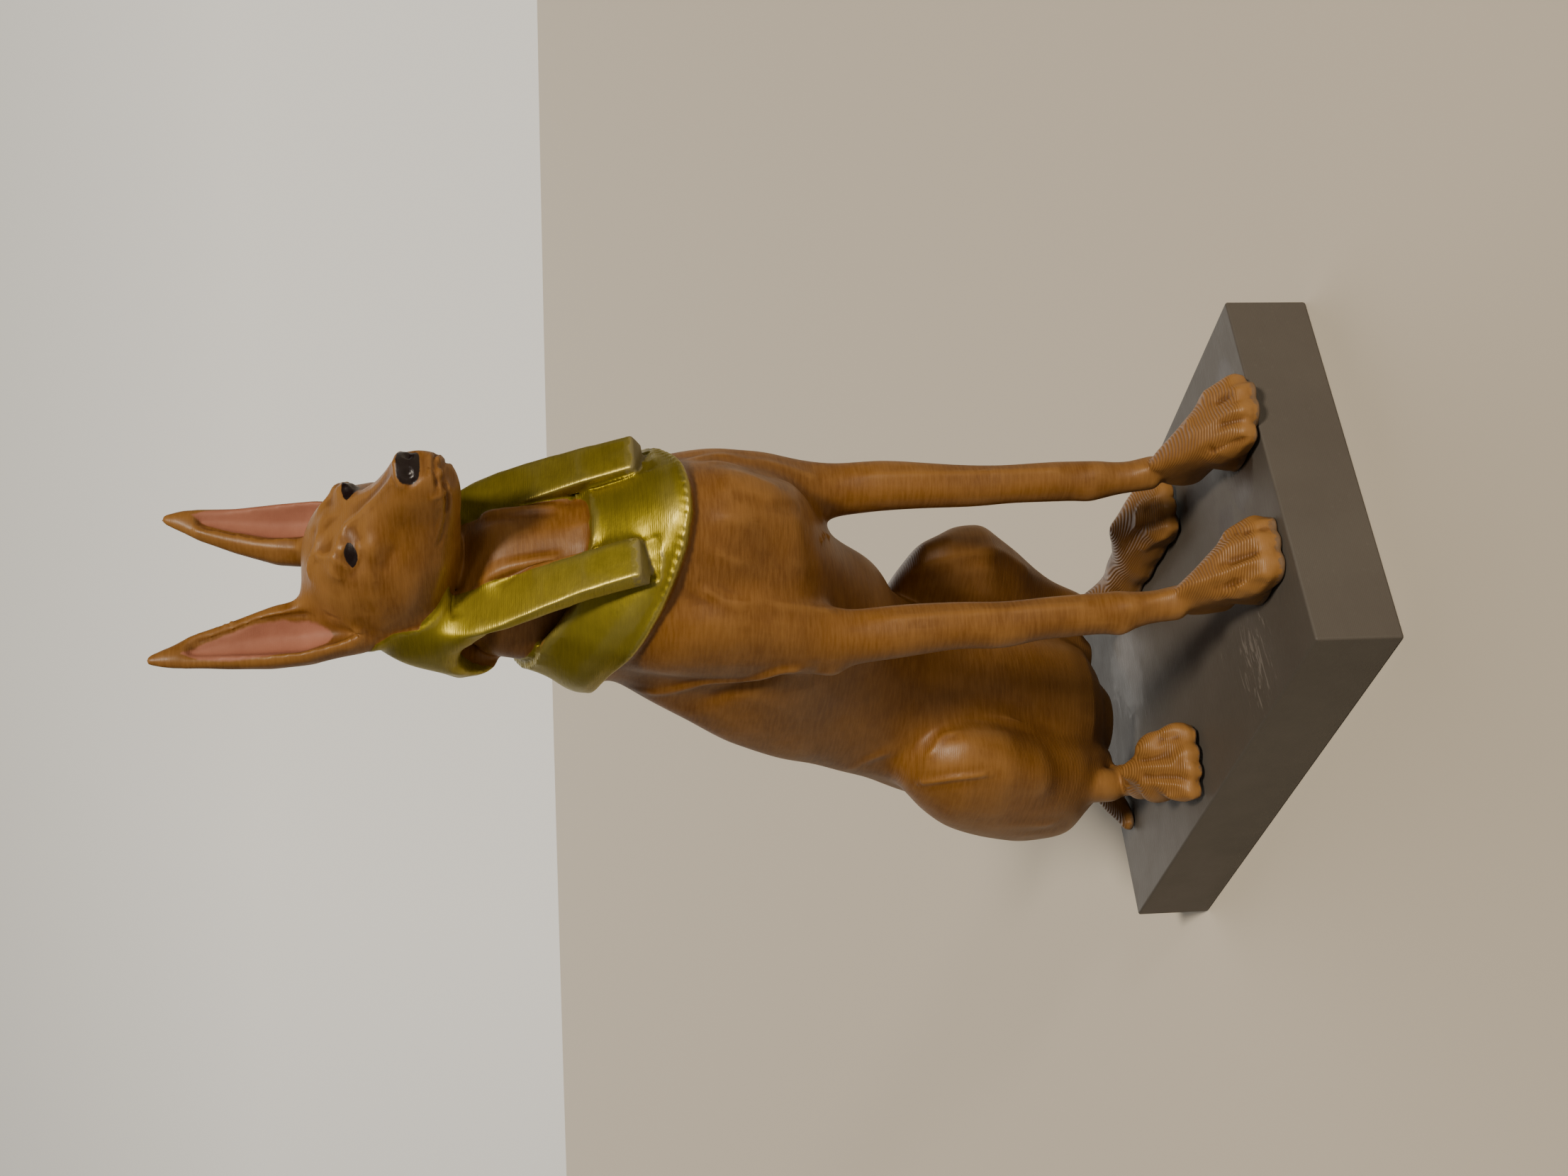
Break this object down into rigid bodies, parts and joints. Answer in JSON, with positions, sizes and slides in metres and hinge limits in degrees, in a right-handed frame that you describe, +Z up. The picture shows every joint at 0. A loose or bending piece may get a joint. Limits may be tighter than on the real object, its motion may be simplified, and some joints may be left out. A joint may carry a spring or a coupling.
{
  "type": "anubis statue",
  "caption": "Small printed souvenir of Anubis as a sitting dog with headcloth and broad collar, on a plain rectangular plinth.",
  "frame": {"origin": "centre of the plinth's underside", "axes": "+Z up, along the statue's height; the animal faces -Y, and its right side is at -X"},
  "size_m": [0.0434, 0.0723, 0.1251],
  "materials": {
    "plinth": "unpainted matte grey printed plastic with fine layer lines",
    "figure": "satin brown hand paint over printed plastic, with olive gold headcloth and collar, pink ears, black eyes and nose"
  },
  "bodies": {
    "root": {"plinth": "plinth", "figure": "figure"}
  },
  "joints": []
}
